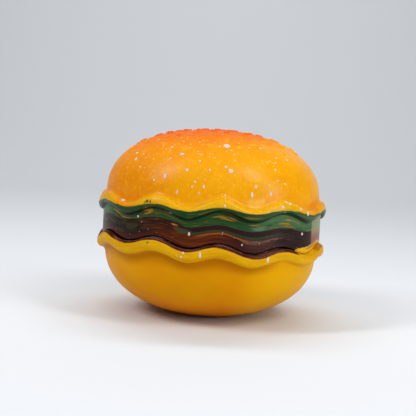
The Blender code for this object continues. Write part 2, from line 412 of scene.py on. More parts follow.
def dab_group():
    """One patch of paint dabbed on at a place on the wall, with a ragged edge."""
    nodes, taken, given = new_group("Shader", "Dab of paint", {
        "Place": "Vector", "Degrees": 0.0, "Height": 0.0, "At Degrees": 0.0, "At Height": 35.0,
        "Half Degrees": 5.0, "Half Height": 1.0, "Softness": 0.25, "Ragged": 0.8,
    }, "Mask")
    aside, above = (
        nodes.calc("DIVIDE", nodes.calc("SUBTRACT", taken[way], taken[f"At {way}"]),
                   taken[f"Half {way}"])
        for way in ("Degrees", "Height"))
    noise = nodes.add("ShaderNodeTexNoise", {
        "Vector": taken["Place"], "Scale": 1.0 / DAB_RAGGED_LENGTH, "Detail": 2.0,
    })
    ragged = nodes.calc("ADD", nodes.root_of_squares(aside, above), nodes.calc(
        "MULTIPLY", nodes.calc("SUBTRACT", noise[0], 0.5), taken["Ragged"]))
    nodes.feed(given["Mask"], nodes.edge(ragged, 1.0, taken["Softness"], falling=True))
    return nodes.tree


PLACE_ON_WALL = place_on_wall_group()
BRUSH_STROKES = brush_strokes_group()
PAINT_LINE = paint_line_group()
SPECKLE = speckle_group()
DAB = dab_group()


class PaintedFinish(Nodes):
    """A material built up like the paint: a ground colour, then one coat over another.

    Masks are between 0 and 1. Heights, lengths and widths are in mm, as at rest, and angles in
    degrees around from the front.
    """

    def __init__(self, name, ground, roughness, shine=0.3, at_rest=True):
        self.material = bpy.data.materials.new(name)
        self.material.use_nodes = True
        super().__init__(self.material.node_tree)
        self.shader = self.tree.nodes["Principled BSDF"]
        self.shader.inputs["Specular IOR Level"].default_value = shine
        self.colour = ground
        self.roughness = roughness
        lifted = self.add("ShaderNodeTexCoord")["Object"]
        self.place = self.attribute("at_rest", "Vector") if at_rest else lifted
        self.degrees, self.height, self.radius = self.group(PLACE_ON_WALL)
        lifted_height = self.calc("DIVIDE", self.parts(lifted)["Z"], MM)
        self.lift = self.calc("SUBTRACT", lifted_height, self.height)

    def attribute(self, name, wanted="Fac"):
        """A number or a vector kept on the mesh."""
        return self.add("ShaderNodeAttribute", attribute_name=name)[wanted]

    def group(self, tree, *values):
        """The outputs of a node group that is given the place, then values in its own order."""
        inputs = dict(enumerate((self.place, *values)))
        return self.add("ShaderNodeGroup", inputs, node_tree=tree)

    def strokes(self, length, width, level=0.5, softness=0.08, shift=0.0, wanted="Mask"):
        """Brush strokes, fewer with a higher level."""
        return self.group(BRUSH_STROKES, length, width, level, softness, shift)[wanted]

    def grain(self, length, width, shift=0.0):
        """The cloudy value that brush strokes are cut from."""
        return self.strokes(length, width, shift=shift, wanted="Grain")

    def line(self, level, softness, wobble, wobble_length=4.0, height=None):
        """1 above a painted line; with a softness below 0, 1 under it."""
        height = self.height if height is None else height
        return self.group(PAINT_LINE, height, level, softness, wobble, wobble_length)["Mask"]

    def speckle(self, cell, dot, share):
        """Dots up to a radius, in a share of the cells."""
        return self.group(SPECKLE, cell, dot, share)["Mask"]

    def dab_mask(self, degrees, height, half_degrees, half_height, softness=0.25, ragged=0.8):
        """1 in an oval patch with a ragged edge."""
        return self.group(DAB, self.degrees, self.height, degrees, height, half_degrees,
                          half_height, softness, ragged)["Mask"]

    def rise(self, low, high):
        """0 at the height low, 1 at high; high may be the smaller one."""
        return self.soft_step(self.height, low, high)

    def sector(self, start, end, softness):
        """1 between two angles around the wall, with soft ends."""
        return self.both(
            self.soft_step(self.degrees, start - softness, start),
            self.soft_step(self.degrees, end + softness, end),
        )

    def stroke_gap(self, start, end):
        """1 between two angles where strokes left a gap: a firm start and a ragged end."""
        off_middle = self.calc("SUBTRACT", self.grain(7.0, 0.8, 52.0), 0.5)
        ragged = self.calc("MULTIPLY_ADD", off_middle, GAP_RAGGEDNESS, self.degrees)
        return self.both(
            self.soft_step(self.degrees, start - GAP_START_SOFTNESS, start),
            self.soft_step(ragged, end + GAP_END_SOFTNESS, end),
        )

    def both(self, first, second):
        """Where both masks are."""
        return self.calc("MULTIPLY", first, second)

    def outside(self, mask):
        """Where a mask isn't."""
        return self.calc("SUBTRACT", 1.0, mask)

    def coat(self, colour, share, *masks):
        """Lay a share of a colour over what is there, where all the masks are."""
        factor, *others = masks if share == 1.0 else (*masks, share)
        for other in others:
            factor = self.both(factor, other)
        self.colour = self.add("ShaderNodeMix", {
            "Factor": factor, 6: self.colour, 7: colour,    # the node's two colour sockets
        }, data_type="RGBA")[2]

    def dab(self, colour, share, *place, **edge):
        """Lay a share of a colour over one patch."""
        self.coat(colour, share, self.dab_mask(*place, **edge))

    def polish(self, roughness, mask):
        """Another roughness where the mask is."""
        self.roughness = self.add("ShaderNodeMapRange", {
            "Value": mask, "To Min": self.roughness, "To Max": roughness,
        })[0]

    def bump(self, height, depth):
        """Relief from a value between 0 and 1, depth high."""
        relief = self.add("ShaderNodeBump", {"Height": height, "Distance": depth, "Strength": 1.0})
        self.feed(self.shader.inputs["Normal"], relief[0])

    def finished(self):
        """The material, with its colour and roughness joined to its shader."""
        self.feed(self.shader.inputs["Base Color"], self.colour)
        self.feed(self.shader.inputs["Roughness"], self.roughness)
        return self.material


GOLD = paint(228, 156, 0)
AMBER = paint(220, 118, 0)
# painted shade under the lower lip
UNDER_LIP_PAINTED_SHADE = paint(160, 84, 0)
# painted light on the right side of the bowl
BOWL_PAINTED_LIGHT = paint(238, 184, 0)
LEMON = paint(228, 172, 10)
WORN_LEMON = paint(208, 140, 4)
BROWN_EDGE = paint(74, 28, 16)
# painted highlight on the brown edge of the lip
RIM_PAINTED_HIGHLIGHT = paint(166, 108, 92)
# painted highlight in the black ledge
BLACK_EDGE = paint(14, 8, 8)
LEDGE_PAINTED_HIGHLIGHT = paint(128, 118, 120)
BARE_END = (46.0, 100.0, 1.0)       # degrees between which the brown edge wasn't painted, softness
SMOOTH_RELIEF = 0.03 * MM
BRUSHED_RELIEF = 0.12 * MM


def lower_bun_paint():
    """Golden bowl, lemon lip, brown top edge and black ledge, all under fine spray."""
    finish = PaintedFinish("lower_bun_paint", GOLD, roughness=0.38, shine=0.03)
    coat, dab, line = finish.coat, finish.dab, finish.line
    rise, sector, strokes = finish.rise, finish.sector, finish.strokes
    coat(AMBER, 0.35, strokes(26.0, 16.0, 0.52, 0.18))
    # Painted shade and warm reflected light: darker and more orange towards the foot of the bowl.
    coat(AMBER, 0.7, rise(14.0, 1.0))
    # Painted light: the right side of the bowl is lighter and yellower, where more light falls.
    coat(BOWL_PAINTED_LIGHT, 0.5, sector(34.0, 100.0, 24.0), rise(25.0, 24.0))
    # Painted shadow: a darker amber band just under the lip, as cast by the lip from above.
    coat(UNDER_LIP_PAINTED_SHADE, 0.55, rise(25.2, 24.6), rise(20.0, 24.2), sector(-70.0, 26.0, 14.0))
    coat(LEMON, 1.0, line(25.0, 0.7, 0.9))
    coat(WORN_LEMON, 0.5, strokes(9.0, 1.2, 0.5, 0.12, 9.0), rise(24.8, 25.4))
    painted = finish.outside(sector(*BARE_END))
    height = finish.calc("MULTIPLY_ADD", sector(8.0, 42.0, 8.0), 0.3, finish.height)
    rim = finish.both(line(28.55, 0.12, 0.9, 7.0, height), painted)
    coat(BROWN_EDGE, 1.0, rim)
    # Painted highlight: pale pink streaks along the brown edge, where its gloss catches light.
    coat(RIM_PAINTED_HIGHLIGHT, 0.6, strokes(9.0, 0.22, 0.54, 0.05, 5.0), rim)
    ledge = line(29.42, 0.05, 0.2)
    coat(BLACK_EDGE, 1.0, ledge, painted)
    # Painted highlight: grey streaks along the black ledge at the front, as gloss catching light.
    coat(LEDGE_PAINTED_HIGHLIGHT, 0.7, strokes(10.0, 0.2, 0.54, 0.05, 44.0), ledge, sector(-42.0, 38.0, 4.0))
    dab(paint(92, 34, 22), 0.95, -84.0, 29.6, 20.0, 2.2)
    dab(paint(164, 92, 10), 0.7, 72.0, 29.2, 9.0, 1.0)
    dab(paint(60, 120, 40), 0.8, -28.9, 27.7, 0.7, 0.4)
    coat(paint(196, 116, 4), 0.4, finish.speckle(1.2, 0.3, 0.4))
    coat(paint(110, 66, 20), 0.7, finish.speckle(6.0, 0.3, 0.12))
    finish.polish(0.12, finish.both(rise(29.3, 29.5), painted))
    finish.bump(finish.grain(3.0, 3.0), SMOOTH_RELIEF)
    return finish.finished()


def lower_bun_profile():
    """Ledge, lip, bowl and flat spot, from the middle outwards and down."""
    ledge = PATTY_BOTTOM - SEAM / 2.0
    middle = (ledge + LOWER_LIP_BOTTOM) / 2.0
    half_height = (ledge - LOWER_LIP_BOTTOM) / 2.0
    reach = RIM_RADIUS - BOWL_RADIUS
    lip = oval((BOWL_RADIUS, middle), reach, half_height, 84, -72, 90, LOWER_LIP_POWER)
    flat_share = (FLAT_SPOT_RADIUS / BOWL_RADIUS) ** BOWL_POWER
    bowl_depth = LOWER_LIP_BOTTOM / (1.0 - flat_share) ** (1.0 / BOWL_POWER)
    flat_angle = math.degrees(math.acos(math.sqrt(flat_share)))
    bowl_top = (0.0, LOWER_LIP_BOTTOM)
    bowl = oval(bowl_top, BOWL_RADIUS, bowl_depth, -5, -flat_angle, 120, BOWL_POWER)
    bowl[-1] = (FLAT_SPOT_RADIUS, 0.0)
    bend = hollow_bend(lip[-1], (BOWL_RADIUS, LOWER_LIP_BOTTOM), bowl[0])
    side = respaced(lip + bend, LIP_SPACING) + respaced(bowl, BOWL_SPACING)
    return face_between(ledge, outward=True) + side + [(0.0, 0.0)]


lower_bun = turned_layer("lower_bun_shell", lower_bun_profile(), lower_bun_paint())
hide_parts("lower_bun")
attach(lower_bun, "root")


# Patty
# A brown band on the upright wall, painted over the ripple in bands: dark brown, a stray green
# line, an ochre line, then rust drawn out with a flat brush. Its foot is drawn in to a groove
# that is painted black and glossy.

GROOVE_DEPTH = 0.5 * MM
GROOVE_HEIGHT = 0.9 * MM

PLUM_BROWN = paint(44, 24, 23)
RUST = paint(88, 34, 8)
LIGHT_RUST = paint(130, 60, 16)
OCHRE = paint(156, 88, 32)
RED_BROWN = paint(84, 34, 20)
NEAR_BLACK = paint(30, 14, 12)
OLIVE = paint(66, 66, 34)
TAN = paint(150, 100, 70)
PALE_GROUND = paint(144, 150, 106)
OLIVE_DABS = (                      # degrees, height at rest, half degrees, half height
    (-59.0, 34.5, 5.0, 0.8),
    (-41.0, 34.6, 4.0, 1.1),
    (-50.0, 32.4, 4.0, 0.5),
)


def patty_paint():
    """Plum brown ground, rust drawn out in the middle, and a dark band with a green line."""
    finish = PaintedFinish("patty_paint", PLUM_BROWN, roughness=0.3, shine=0.08)
    coat, dab, line = finish.coat, finish.dab, finish.line
    rise, sector, strokes = finish.rise, finish.sector, finish.strokes
    dark = strokes(18.0, 0.7, 0.52, 0.1, 8.0)
    coat(NEAR_BLACK, 0.7, dark)
    # Painted reflection: a pale greyish sheen in streaks on the right of the brown band.
    coat(paint(92, 70, 66), 0.35, strokes(12.0, 2.4, 0.52, 0.12, 40.0), sector(19.0, 40.0, 7.0))
    middle = sector(-20.0, 2.0, 11.0)
    coat(RUST, 1.0, middle)
    coat(RED_BROWN, 0.5, sector(-100.0, -76.0, 22.0))
    coat(RED_BROWN, 0.6, sector(-100.0, -30.0, 8.0), rise(32.6, 31.0))
    coat(RED_BROWN, 0.4, sector(6.0, 28.0, 7.0), rise(32.8, 31.8))
    coat(LIGHT_RUST, 0.6, strokes(14.0, 0.34, 0.55, 0.06, 3.0), middle)
    coat(NEAR_BLACK, 0.65, strokes(20.0, 0.28, 0.56, 0.05, 19.0), middle)
    upper = rise(32.0, 33.4)
    coat(paint(36, 20, 16), 0.88, sector(-42.0, -20.0, 5.0), upper)
    coat(LIGHT_RUST, 0.5, strokes(7.0, 0.3, 0.54, 0.05, 31.0), sector(-34.0, -17.0, 3.0), upper)
    coat(OLIVE, 0.4, strokes(5.0, 0.8, 0.54, 0.07, 15.0), sector(-120.0, -34.0, 8.0),
         rise(32.0, 33.6))
    for place in OLIVE_DABS:
        dab(OLIVE, 0.5, *place)
    coat(OCHRE, 0.75, line(33.2, 0.12, 0.8), finish.outside(line(33.75, 0.12, 0.8)),
         sector(-4.0, 14.0, 5.0))
    coat(paint(46, 62, 36), 0.9, line(34.1, 0.1, 0.5, 5.0), sector(-14.0, 60.0, 3.0),
         finish.soft_step(finish.degrees, 46.0, 24.0))
    band = finish.both(line(34.75, 0.1, 0.5, 6.0), sector(-14.0, 60.0, 2.0))
    coat(paint(46, 24, 26), 0.97, band)
    coat(NEAR_BLACK, 0.4, dark, band)
    dab(OLIVE, 0.8, -13.5, 35.0, 4.0, 0.8)
    dab(paint(196, 104, 56), 0.75, -17.2, 36.4, 1.6, 0.26)
    coat(TAN, 0.8, finish.dab_mask(24.0, 33.0, 10.0, 0.55), strokes(6.0, 0.25, 0.48, 0.06))
    coat(paint(58, 92, 52), 0.8, line(36.45, 0.06, 0.6, 3.0),
         finish.outside(sector(-44.0, -14.0, 3.0)))
    bare = finish.stroke_gap(61.0, 86.0)
    coat(paint(148, 88, 62), 0.9, bare)
    coat(PALE_GROUND, 0.8, bare, rise(33.0, 36.4))
    coat(paint(190, 168, 164), 0.75, finish.speckle(1.4, 0.3, 0.42))
    groove = line(30.05, -0.1, 0.4)
    coat(BLACK_EDGE, 1.0, groove)
    coat(LEMON, 1.0, groove, sector(*BARE_END))
    dab(LEMON, 1.0, 59.3, 29.6, 14.0, 2.4, softness=0.05, ragged=0.2)
    dab(paint(176, 100, 8), 0.7, 63.0, 31.3, 8.0, 0.6)
    finish.bump(finish.grain(16.0, 0.5, 8.0), BRUSHED_RELIEF)
    finish.polish(0.08, rise(30.3, 30.0))
    return finish.finished()


def patty_profile():
    """A disc with an upright wall whose foot curls in to the groove."""
    top = PATTY_TOP - SEAM / 2.0
    foot = PATTY_BOTTOM + SEAM / 2.0
    wall = respaced([(WALL_RADIUS, top), (WALL_RADIUS, foot + GROOVE_HEIGHT)], WALL_SPACING)
    curl = oval((WALL_RADIUS - GROOVE_DEPTH, foot + GROOVE_HEIGHT), GROOVE_DEPTH, GROOVE_HEIGHT,
                -8, -82, 8)
    return face_between(top, outward=True) + wall + curl + face_between(foot, outward=False)


patty = turned_layer("patty_band", patty_profile(), patty_paint())
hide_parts("patty")
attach(patty, "root")


# Lettuce
# The green band above the patty and the lower half of the upper lip, which rolls out over it.
# Several greens and a little gold were drawn round with a brush while wet, so they lie in
# streaks. On the right the paint ran out and the pale ground shows through.

ROLL_SPACING = 0.15 * MM

GREEN = paint(38, 78, 34)
DEEP_GREEN = paint(14, 46, 22)
SAGE = paint(82, 120, 78)
OLD_GOLD = paint(184, 124, 26)
LIP_LINE = 42.1                     # mm, where the green meets the yellow on the lip
LIP_LINE_WOBBLE = 1.0
LIP_LINE_FLATNESS = 0.28
GOLD_DABS = (                       # degrees, height at rest, half degrees, half height
    (-32.6, 40.2, 1.4, 0.35),
    (-31.0, 39.6, 2.4, 0.3),
    (-29.6, 39.1, 1.5, 0.35),
    (-31.4, 38.5, 1.8, 0.3),
    (-53.0, 38.9, 5.0, 0.3),
    (-46.0, 37.7, 4.0, 0.25),
    (-2.0, 41.0, 4.0, 0.2),
    (19.0, 41.2, 3.6, 0.22),
    (16.0, 40.9, 2.0, 0.15),
    (29.2, 39.9, 2.0, 0.16),
    (3.4, 38.7, 3.6, 0.16),
    (7.2, 38.3, 3.0, 0.14),
    (10.0, 38.9, 2.0, 0.12),
    (20.3, 38.9, 2.6, 0.18),
    (39.0, 38.6, 2.4, 0.16),
    (37.0, 37.7, 3.6, 0.16),
    (-10.0, 40.5, 1.8, 0.14),
)


def lip_line(finish, below=0.0, softness=0.06):
    """1 above the line on the lip, or a little below it. It follows the ripple only in part."""
    height = finish.calc("MULTIPLY_ADD", finish.lift, LIP_LINE_FLATNESS, finish.height)
    return finish.line(LIP_LINE - below, softness, LIP_LINE_WOBBLE, height=height)


def lettuce_paint():
    """Greens in streaks, gold in a few of them, a dark shadow line under the roll."""
    finish = PaintedFinish("lettuce_paint", GREEN, roughness=0.3, shine=0.09)
    coat, dab, line = finish.coat, finish.dab, finish.line
    sector, strokes = finish.sector, finish.strokes
    coat(DEEP_GREEN, 0.75, strokes(13.0, 0.8, 0.52, 0.12, 2.0))
    coat(paint(62, 76, 38), 0.6, sector(-52.0, -20.0, 8.0))
    sage = strokes(14.0, 1.8, 0.44, 0.14, 6.0)
    coat(SAGE, 0.75, sage, sector(34.0, 130.0, 22.0))
    coat(SAGE, 0.7, sage, sector(-140.0, -66.0, 12.0))
    # Painted reflection: a pale upright patch on the right of the green wall.
    dab(paint(136, 160, 136), 0.3, 22.5, 37.4, 3.4, 1.0, softness=0.6)
    coat(OLD_GOLD, 0.65, strokes(11.0, 0.3, 0.64, 0.04, 11.0))
    for place in GOLD_DABS:
        dab(OLD_GOLD, 0.8, *place, softness=0.35)
    coat(PLUM_BROWN, 0.95, sector(-50.0, -16.0, 5.0), finish.outside(line(37.25, 0.07, 1.2, 5.0)))
    coat(paint(16, 62, 32), 0.55, line(40.3, 0.25, 0.4))
    coat(paint(8, 22, 10), 0.85, line(39.7, 0.2, 0.4), line(40.5, -0.3, 0.4))
    coat(PALE_GROUND, 0.85, finish.stroke_gap(61.0, 84.0), finish.outside(line(39.8, 0.15, 0.3)))
    coat(paint(30, 96, 64), 0.25, lip_line(finish, below=0.5, softness=0.12))
    coat(LEMON, 0.95, lip_line(finish))
    finish.bump(finish.grain(14.0, 0.5, 2.0), BRUSHED_RELIEF)
    return finish.finished()


def lettuce_profile():
    """The lower half of the lip, then the upright wall down to the patty."""
    top = UPPER_LIP_MIDDLE - SEAM / 2.0
    foot = PATTY_TOP + SEAM / 2.0
    reach = RIM_RADIUS - WALL_RADIUS
    drop = UPPER_LIP_MIDDLE - UPPER_LIP_BOTTOM
    lip = oval((WALL_RADIUS, UPPER_LIP_MIDDLE), reach, drop, -1, -80, 50)
    wall_top = (WALL_RADIUS, UPPER_LIP_BOTTOM - 0.5 * MM)
    bend = hollow_bend(lip[-1], (WALL_RADIUS, UPPER_LIP_BOTTOM), wall_top)
    wall = respaced([wall_top, (WALL_RADIUS, foot)], WALL_SPACING)
    side = respaced(lip + bend, ROLL_SPACING) + wall
    return face_between(top, outward=True) + side + face_between(foot, outward=False)


lettuce = turned_layer("lettuce_band", lettuce_profile(), lettuce_paint())
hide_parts("lettuce")
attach(lettuce, "root")


# Upper bun
# A golden dome with the yellow upper half of the lip. Sesame seeds stand on its crown in low
# relief, cast in the same mould. Red and orange were sprayed on the crown from above, and the
# spray thins out to dots lower down.

TOP = 70.9 * MM
DOME_FOOT = 45.2 * MM
DOME_RADIUS = 41.3 * MM
DOME_POWER = 2.25
CROWN_SPACING = 0.36 * MM
FLANK_SPACING = 0.5 * MM

SEED_COUNT = 84
SEED_FIELD_RADIUS = 33.0 * MM
SEED_LENGTH = 3.4 * MM
SEED_WIDTH = 2.0 * MM
SEED_TAPER = 0.35
SEED_RISE = 0.5 * MM
SEED_DOME = 0.6                     # share of the rise that is domed
SEED_DOME_REACH = 1.06              # this and the next two: squares of the distance from a
SEED_FOOT_INSIDE = 0.55             # seed's middle, with its edge at 1
SEED_FOOT_OUTSIDE = 1.25
SEED_JITTER = 0.9 * MM
SEED_RANDOM = 11
GOLDEN_ANGLE = math.pi * (3.0 - math.sqrt(5.0))

DOME_GOLD = paint(243, 168, 0)
DOME_AMBER = paint(232, 128, 0)
DOME_LEMON = paint(226, 168, 6)
SPRAY_ORANGE = paint(226, 100, 0)
SPRAY_RED = paint(228, 74, 10)
WHITE_DOT = paint(255, 204, 160)
FLECK_DABS = (                      # degrees, height at rest, half degrees, half height
    (-30.2, 42.75, 0.75, 0.5),
    (-31.3, 42.5, 0.35, 0.3),
    (-28.5, 42.5, 0.35, 0.5),
)


def upper_bun_paint():
    """Golden ground, lemon lip, and orange and red spray on the crown."""
    finish = PaintedFinish("upper_bun_paint", DOME_GOLD, roughness=0.3, shine=0.2)
    coat, dab, rise = finish.coat, finish.dab, finish.rise
    sector, strokes = finish.sector, finish.strokes
    coat(DOME_AMBER, 0.3, strokes(20.0, 14.0, 0.5, 0.2, 4.0))
    # Partly painted shade, partly an uneven airbrush tone: the dome's left flank is deeper amber.
    coat(DOME_AMBER, 0.55, sector(-130.0, -34.0, 26.0), rise(62.0, 52.0))
    coat(DOME_LEMON, 0.95, rise(45.4, 44.0))
    coat(paint(236, 128, 0), 0.3, finish.speckle(0.8, 0.42, 0.6))
    coat(paint(255, 190, 10), 0.35, strokes(1.4, 1.4, 0.58, 0.08, 60.0))
    mist = finish.grain(5.0, 5.0, 21.0)
    blush = finish.calc("MULTIPLY_ADD", mist, 3.0, finish.height)
    both_sides = finish.calc("MAXIMUM", sector(-130.0, -50.0, 36.0), sector(62.0, 100.0, 10.0))
    coat(SPRAY_ORANGE, 0.4, finish.soft_step(finish.lift, 0.2, -0.9),
         finish.soft_step(blush, 49.0, 46.2), both_sides)
    aside = finish.parts(finish.place)["X"]
    leaning = finish.calc("MULTIPLY_ADD", aside, 0.16 / MM, finish.radius)
    spread = finish.calc("MULTIPLY_ADD", mist, 9.0, leaning)
    coat(SPRAY_ORANGE, 0.85, finish.soft_step(spread, 45.0, 24.0))
    coat(SPRAY_RED, 0.6, finish.soft_step(spread, 27.0, 12.0))
    seed = finish.attribute("seed")
    coat(paint(255, 184, 0), 0.4, seed, finish.soft_step(spread, 28.0, 36.0))
    coat(paint(232, 78, 8), 0.4, seed, finish.soft_step(spread, 30.0, 22.0))
    coat(WHITE_DOT, 0.8, finish.speckle(1.4, 0.45, 0.6),
         finish.soft_step(finish.radius, 44.0, 34.0))
    coat(paint(120, 62, 16), 0.7, finish.speckle(3.4, 0.26, 0.14))
    for place in FLECK_DABS:
        dab(DEEP_GREEN, 0.9, *place)
    for degrees in (-67.0, 67.0):
        dab(DOME_AMBER, 0.55, degrees, 45.0, 12.0, 1.5, softness=0.6)
    # Painted highlight: a pale yellow patch on the right, just above the lip.
    dab(paint(252, 196, 84), 0.5, 21.0, 46.2, 4.5, 1.2, softness=0.4)
    # Painted highlight: thin pale lines on the right of the lip, where its gloss catches light.
    coat(paint(255, 214, 124), 0.6, strokes(9.0, 0.3, 0.58, 0.05, 33.0), sector(8.0, 24.0, 3.0),
         rise(44.4, 45.0), rise(47.0, 46.4))
    coat(GREEN, 0.95, finish.outside(lip_line(finish)))
    finish.polish(0.6, finish.soft_step(spread, 44.0, 32.0))
    finish.bump(finish.grain(2.5, 2.5), SMOOTH_RELIEF)
    return finish.finished()


def upper_bun_profile():
    """Crown, dome, hollow crease, the upper half of the lip and the hidden face."""
    foot = UPPER_LIP_MIDDLE + SEAM / 2.0
    reach = RIM_RADIUS - WALL_RADIUS
    rise = UPPER_LIP_TOP - UPPER_LIP_MIDDLE
    dome = oval((0.0, DOME_FOOT), DOME_RADIUS, TOP - DOME_FOOT, 90, 2, 400, DOME_POWER)
    dome[0] = (0.0, TOP)
    crown = [point for point in dome if point[0] < SEED_FIELD_RADIUS + SEED_LENGTH]
    flank = [crown[-1]] + dome[len(crown):]
    lip = oval((WALL_RADIUS, UPPER_LIP_MIDDLE), reach, rise, 62, 1, 30)
    bend = hollow_bend(flank[-1], (DOME_RADIUS, UPPER_LIP_TOP), lip[0])
    side = respaced(flank, FLANK_SPACING)[1:] + respaced(bend + lip, LIP_SPACING)
    return respaced(crown, CROWN_SPACING) + side + face_between(foot, outward=False)


def dome_height(radius):
    """The height of the crown at a radius."""
    share = 1.0 - (radius / DOME_RADIUS) ** DOME_POWER
    return DOME_FOOT + (TOP - DOME_FOOT) * share ** (1.0 / DOME_POWER)


def seed_places():
    """Each seed's place, and the direction of its length and width on the crown."""
    draw = random.Random(SEED_RANDOM)
    places, lengthways, sideways = [], [], []
    for index in range(SEED_COUNT):
        radius = SEED_FIELD_RADIUS * math.sqrt((index + 0.5) / SEED_COUNT)
        radius = abs(radius + draw.uniform(-SEED_JITTER, SEED_JITTER))
        turn = index * GOLDEN_ANGLE + draw.uniform(-SEED_JITTER, SEED_JITTER) / max(radius, MM)
        heading = draw.uniform(0.0, 2.0 * math.pi)
        step = 0.1 * MM
        slope = (dome_height(radius + step) - dome_height(radius - step)) / (2.0 * step)
        outward = Vector((math.cos(turn), math.sin(turn), 0.0))
        normal = (Vector((0.0, 0.0, 1.0)) - slope * outward).normalized()
        along = Vector((math.cos(heading), math.sin(heading), 0.0))
        along = (along - along.dot(normal) * normal).normalized()
        places.append(radius * outward + Vector((0.0, 0.0, dome_height(radius))))
        lengthways.append(along)
        sideways.append(normal.cross(along))
    return places, lengthways, sideways


def seed_relief_tree():
    """Raises a drop-shaped seed on the surface round each point, with a soft foot."""
    nodes, taken, given = new_group("Geometry", "Seed relief", {
        "Seeds": "Geometry", "Crown": "Object", "Length": SEED_LENGTH, "Width": SEED_WIDTH,
        "Taper": SEED_TAPER, "Rise": SEED_RISE, "Lowest": UPPER_LIP_TOP + RIPPLE_FADE,
        "Material": "Material",
    }, "Crown")
    calc = nodes.calc
    crown = nodes.add("GeometryNodeObjectInfo", {"Object": taken["Crown"]})["Geometry"]
    place = nodes.add("GeometryNodeInputPosition")[0]
    nearest = nodes.step("SampleNearest", taken["Seeds"], domain="POINT")

    def of_seed(value):
        """A vector of the nearest seed."""
        return nodes.sampled(taken["Seeds"], value, nearest, "FLOAT_VECTOR")

    from_seed = nodes.add("ShaderNodeVectorMath", {0: place, 1: of_seed(place)},
                          operation="SUBTRACT")[0]
    along, aside = (
        nodes.add("ShaderNodeVectorMath", {
            0: from_seed, 1: of_seed(nodes.kept(name, "FLOAT_VECTOR")),
        }, operation="DOT_PRODUCT")["Value"]
        for name in ("lengthways", "sideways"))
    half_length, half_width = (
        calc("MULTIPLY", taken[name], 0.5) for name in ("Length", "Width"))
    lengthwise = calc("DIVIDE", along, half_length)
    narrowing = calc("SUBTRACT", 1.0, calc("MULTIPLY", lengthwise, taken["Taper"]))
    widthwise = calc("DIVIDE", aside, calc("MULTIPLY", half_width, narrowing))
    reach = calc("ADD", calc("MULTIPLY", lengthwise, lengthwise),
                 calc("MULTIPLY", widthwise, widthwise))
    dome = calc("SQRT", calc("MAXIMUM", calc("SUBTRACT", SEED_DOME_REACH, reach), 0.0))
    foot = nodes.soft_step(reach, SEED_FOOT_OUTSIDE, SEED_FOOT_INSIDE)
    lift = calc("MULTIPLY", taken["Rise"], calc(
        "MULTIPLY", foot, calc("MULTIPLY_ADD", dome, SEED_DOME, 1.0 - SEED_DOME)))
    normal = nodes.add("GeometryNodeInputNormal")[0]
    offset = nodes.add("ShaderNodeVectorMath", {0: normal, "Scale": lift}, operation="SCALE")[0]
    on_crown = calc("GREATER_THAN", nodes.parts(place)["Z"], taken["Lowest"])
    marked = nodes.step("StoreNamedAttribute", crown, {
        "Name": "seed", "Value": calc("MULTIPLY", foot, on_crown),
    }, data_type="FLOAT", domain="POINT")
    raised = nodes.step("SetPosition", marked, {"Selection": on_crown, "Offset": offset})
    return nodes.give_dressed(raised, taken, given)


upper_bun_finish = upper_bun_paint()
plain_dome = turned_layer("plain_dome", upper_bun_profile(), upper_bun_finish)
places, lengthways, sideways = seed_places()
seed_points = loose_points("seed_points", places, {"lengthways": lengthways, "sideways": sideways})
upper_bun = made_by(
    seed_relief_tree(), seed_points, {"Crown": plain_dome, "Material": upper_bun_finish},
    "upper_bun_shell",
)
bpy.data.objects.remove(plain_dome)
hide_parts("upper_bun")
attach(upper_bun, "root")


# Viewpoint
# The camera stands about 27 cm away, a little above the upper lip, and leans to one side.
# The splatter below is placed from what it sees.

CAMERA_DISTANCE = 272.0 * MM
CAMERA_HEIGHT = 54.7 * MM
CAMERA_ROLL = math.radians(3.0)
SENSOR_WIDTH = 36.0                 # mm, as the lens is given
NEAREST_SEEN = 0.01
FOCAL_PIXELS = 694.0
FRAME_PIXELS = 416.0
HORIZON_PIXELS_ABOVE_MIDDLE = 36.3
AXIS_PIXELS_RIGHT_OF_MIDDLE = 4.2


def camera():
    """The viewpoint, as the scene's camera."""
    data = bpy.data.cameras.new("viewpoint")
    data.sensor_width = SENSOR_WIDTH
    data.lens = SENSOR_WIDTH * FOCAL_PIXELS / FRAME_PIXELS
    data.clip_start = NEAREST_SEEN
    eye = in_scene("viewpoint", data)
    pitch = math.atan(HORIZON_PIXELS_ABOVE_MIDDLE / FOCAL_PIXELS)
    yaw = math.atan(AXIS_PIXELS_RIGHT_OF_MIDDLE / FOCAL_PIXELS)
    facing = Euler((math.radians(90.0) - pitch, 0.0, yaw)).to_matrix()
    roll = Matrix.Rotation(CAMERA_ROLL, 3, "Z")
    eye.matrix_world = Matrix.Translation((0.0, -CAMERA_DISTANCE, CAMERA_HEIGHT)) @ (
        facing @ roll).to_4x4()
    bpy.context.scene.camera = eye
    return eye


eye = camera()


# Splatter
# White colour flicked off a brush, in low round drops on the crown and in short runs where the
# surface is steep. The large ones stand where they show in the picture, the small ones at random.

